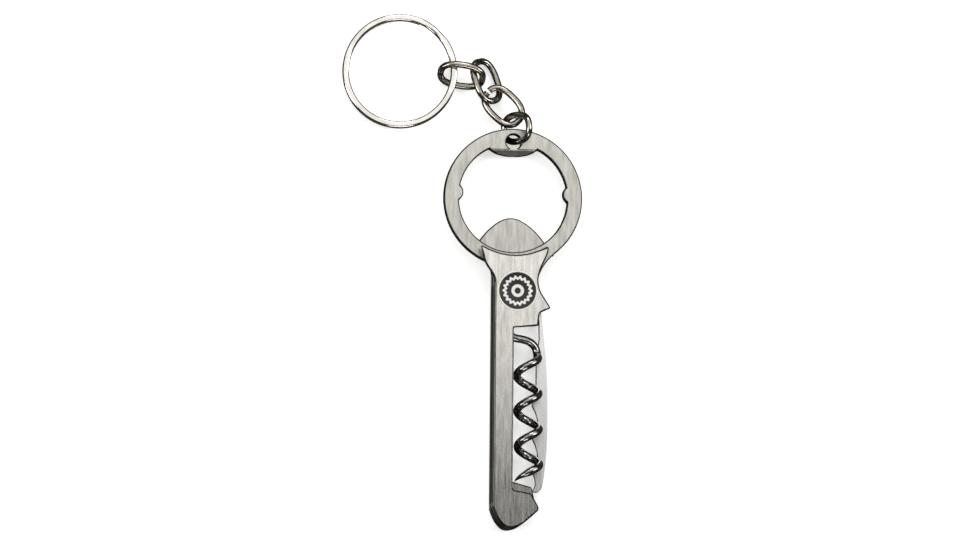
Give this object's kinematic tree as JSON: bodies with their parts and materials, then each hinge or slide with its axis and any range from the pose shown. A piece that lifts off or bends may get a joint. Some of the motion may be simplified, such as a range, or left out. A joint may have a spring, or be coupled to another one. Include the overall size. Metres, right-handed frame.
{
  "type": "keychain bottle opener",
  "caption": "Flat steel key-ring tool with a bottle-opening ring, a fold-out corkscrew and a fold-out foil blade, on a short chain and split ring.",
  "frame": {"origin": "on the axis of the pivot pin, at the rear face of the back plate", "axes": "+Z through the thickness from the back plate to the front plate; +Y along the handle to the opening ring; +X to the side where the tools swing out"},
  "size_m": [0.0587, 0.1256, 0.0107],
  "materials": {
    "brushed_plate": "stainless sheet, brushed along the handle, edges broken",
    "spring_steel": "plain stamped spring steel",
    "polished_wire": "bright polished steel wire",
    "ground_blade": "finely ground stainless blade",
    "nickel_plate": "nickel-plated steel wire",
    "badge_enamel": null
  },
  "bodies": {
    "handle": {"back_plate": "brushed_plate", "head_plate": "brushed_plate", "front_plate": "brushed_plate", "corkscrew_spring": "spring_steel", "blade_spring": "spring_steel", "tail_spacer_front": "spring_steel", "tail_spacer_back": "spring_steel", "neck_spacer_front": "spring_steel", "neck_spacer_back": "spring_steel", "pivot_pin": "spring_steel", "neck_rivet": "spring_steel", "spring_rivet": "spring_steel", "tail_rivet": "spring_steel", "hook_rivet": "spring_steel", "eye_washer_back": "nickel_plate", "eye_washer_front": "nickel_plate", "badge_disc": "badge_enamel"},
    "corkscrew_arm": {"corkscrew": "polished_wire"},
    "blade_arm": {"foil_blade": "ground_blade"},
    "link_4": {"chain_link_4": "nickel_plate"},
    "link_3": {"chain_link_3": "nickel_plate"},
    "link_2": {"chain_link_2": "nickel_plate"},
    "link_1": {"chain_link_1": "nickel_plate"},
    "ring": {"split_ring": "nickel_plate"}
  },
  "joints": [
    {"name": "corkscrew_pivot", "type": "hinge", "parent": "handle", "child": "corkscrew_arm", "pos_m": [0, 0, 0.0063], "axis": [0, 0, 1], "range_deg": [0, 90]},
    {"name": "blade_pivot", "type": "hinge", "parent": "handle", "child": "blade_arm", "pos_m": [0, 0, 0.00195], "axis": [0, 0, 1], "range_deg": [0, 120]},
    {"name": "link_4_swing", "type": "hinge", "parent": "handle", "child": "link_4", "pos_m": [-0.00079, 0.03707, 0.00376], "axis": [0.4845, -0.0169, 0.8746], "range_deg": [-18, 6]},
    {"name": "link_3_turn", "type": "hinge", "parent": "link_4", "child": "link_3", "pos_m": [-0.00224, 0.04264, 0.00199], "axis": [-0.3646, -0.5576, -0.7458], "range_deg": [-30, 4]},
    {"name": "link_2_turn", "type": "hinge", "parent": "link_3", "child": "link_2", "pos_m": [-0.00427, 0.05029, 0.00317], "axis": [-0.9475, 0.2354, -0.2164], "range_deg": [0, 40]},
    {"name": "link_1_turn", "type": "hinge", "parent": "link_2", "child": "link_1", "pos_m": [-0.01022, 0.05173, 0.00436], "axis": [0.296, -0.9494, 0.1046], "range_deg": [-35, 40]},
    {"name": "ring_turn", "type": "hinge", "parent": "link_1", "child": "ring", "pos_m": [-0.0158, 0.05129, 0.00111], "axis": [0.9636, -0.2628, -0.0491], "range_deg": [-50, 2]}
  ]
}
